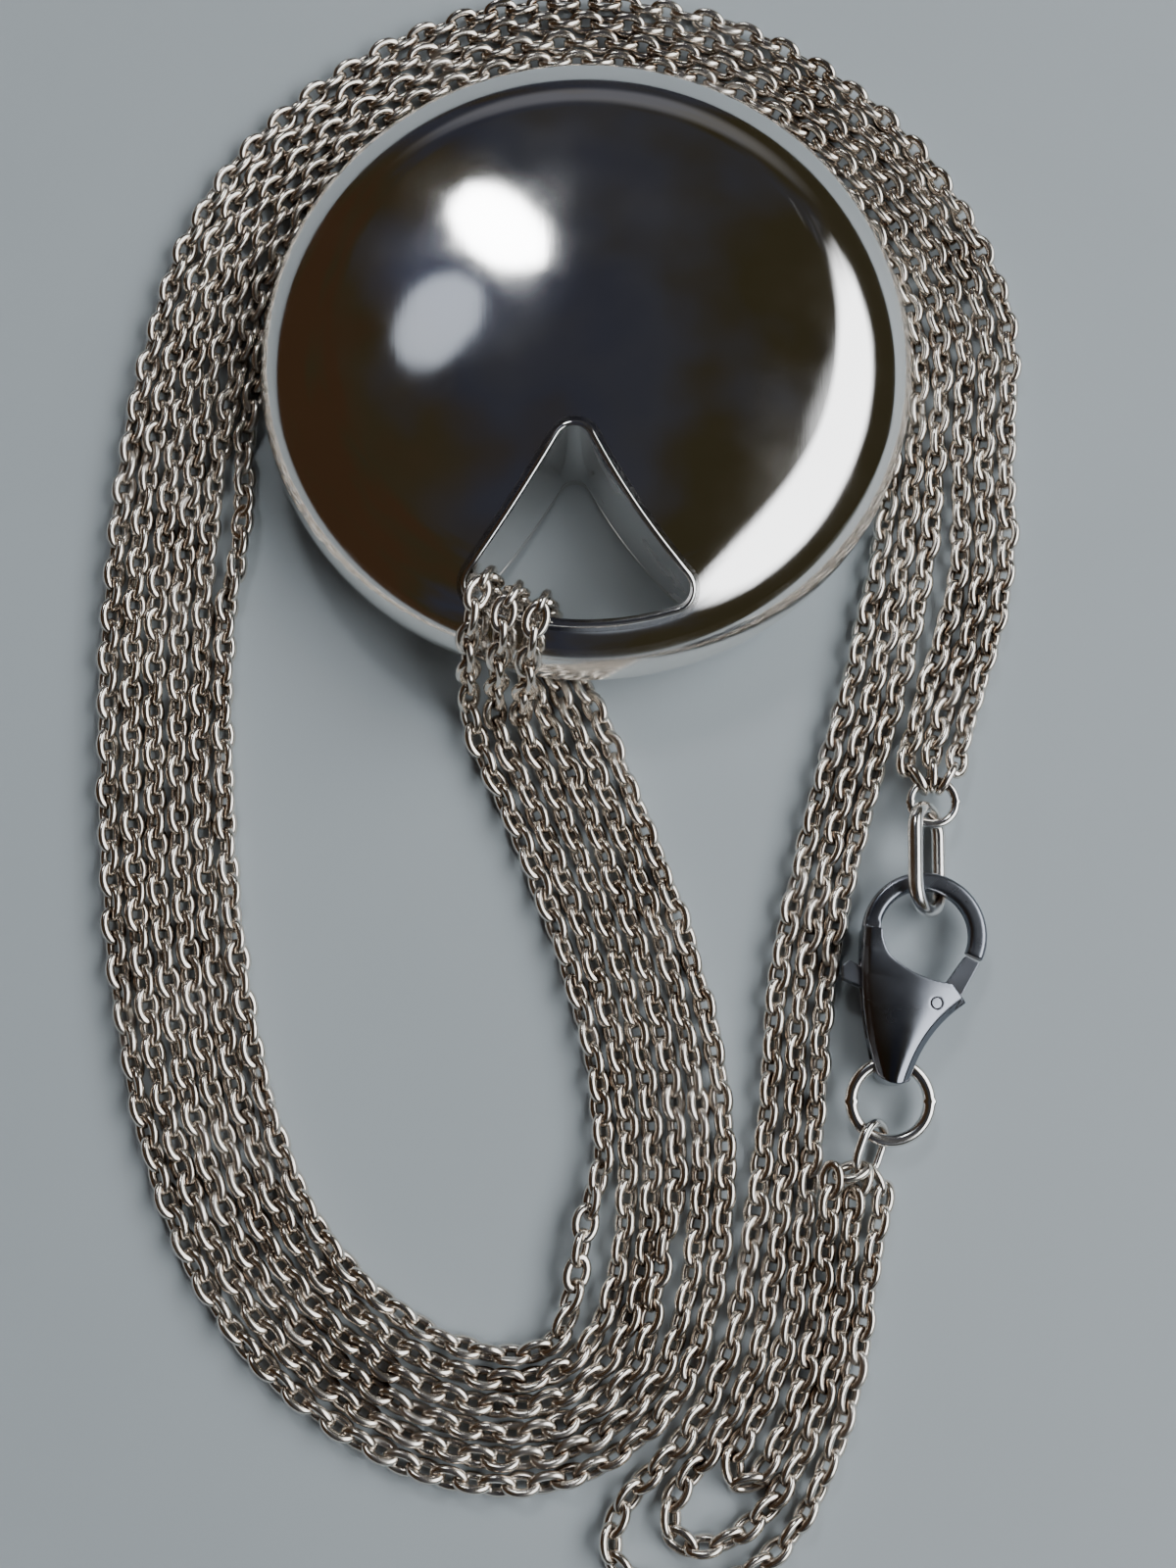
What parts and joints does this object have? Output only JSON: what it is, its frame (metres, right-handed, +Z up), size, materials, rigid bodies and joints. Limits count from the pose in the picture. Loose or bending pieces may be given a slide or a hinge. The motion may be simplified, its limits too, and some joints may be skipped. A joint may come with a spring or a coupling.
{
  "type": "pendant necklace",
  "caption": "Necklace of fine cable chain strands with a hollow puffed disc pendant hung through a bell-shaped opening, fastened by a lobster clasp.",
  "frame": {"origin": "on the table under the middle of the pendant's disc", "axes": "+Z up out of the table through the pendant's domed front, +Y away from the clasp end of the necklace"},
  "size_m": [0.053, 0.0924, 0.0092],
  "materials": {
    "pendant_mirror": "mirror-polished silver with fine scratches",
    "chain_silver": "polished silver wire with brown tarnish between the links",
    "fitting_silver": "polished silver wire, lightly scratched",
    "clasp_silver": "cast silver, satin and scuffed",
    "spring_steel": "bright spring strip"
  },
  "bodies": {
    "necklace": {"chain_strand_inner": "chain_silver", "chain_strand_middle": "chain_silver", "chain_strand_outer": "chain_silver", "strand_end_links_first": "chain_silver", "strand_end_links_second": "chain_silver"},
    "pendant": {"pendant_front_shell": "pendant_mirror", "pendant_back_shell": "pendant_mirror", "opening_liner": "pendant_mirror"},
    "end_ring": {"end_ring": "fitting_silver"},
    "oval_link": {"oval_link": "fitting_silver"},
    "clasp": {"clasp_body": "clasp_silver", "lever_pivot_pin": "clasp_silver", "lever_spring": "spring_steel"},
    "lever": {"clasp_lever": "clasp_silver"},
    "jump_ring": {"clasp_jump_ring": "fitting_silver"},
    "connector": {"connector_link": "fitting_silver"}
  },
  "joints": [
    {"name": "pendant_swing", "type": "hinge", "parent": "necklace", "child": "pendant", "pos_m": [0, -0.0172, 0.004], "axis": [1, 0, 0], "range_deg": [0, 8]},
    {"name": "clasp_lift", "type": "hinge", "parent": "necklace", "child": "clasp", "pos_m": [0.01657, -0.03938, 0.0015], "axis": [0.9799, -0.1994, 0], "range_deg": [0, 6]},
    {"name": "oval_link_lift", "type": "hinge", "parent": "necklace", "child": "oval_link", "pos_m": [0.0192, -0.02625, 0.00125], "axis": [1, 0, 0], "range_deg": [-11.4, 0]},
    {"name": "lever_open", "type": "hinge", "parent": "clasp", "child": "lever", "pos_m": [0.01874, -0.03624, 0.0015], "axis": [0, 0, 1], "range_deg": [0, 25], "stiffness_Nm_per_rad": 0.002, "springref_deg": -11.46, "deforming": ["lever_spring"]},
    {"name": "end_ring_turn", "type": "hinge", "parent": "necklace", "child": "end_ring", "pos_m": [0.0192, -0.025, 0.00125], "axis": [0, 0, 1], "continuous": true},
    {"name": "jump_ring_turn", "type": "hinge", "parent": "necklace", "child": "jump_ring", "pos_m": [0.01631, -0.04137, 0.00135], "axis": [0, -0.1219, 0.9925], "continuous": true},
    {"name": "connector_roll", "type": "hinge", "parent": "necklace", "child": "connector", "pos_m": [0.0152, -0.04389, 0.00115], "axis": [0.3502, 0.9367, 0], "range_deg": [-4, 4]}
  ],
  "couplings": [
    {"joint": "oval_link_lift", "follows": "clasp_lift", "ratio": -1.9}
  ]
}
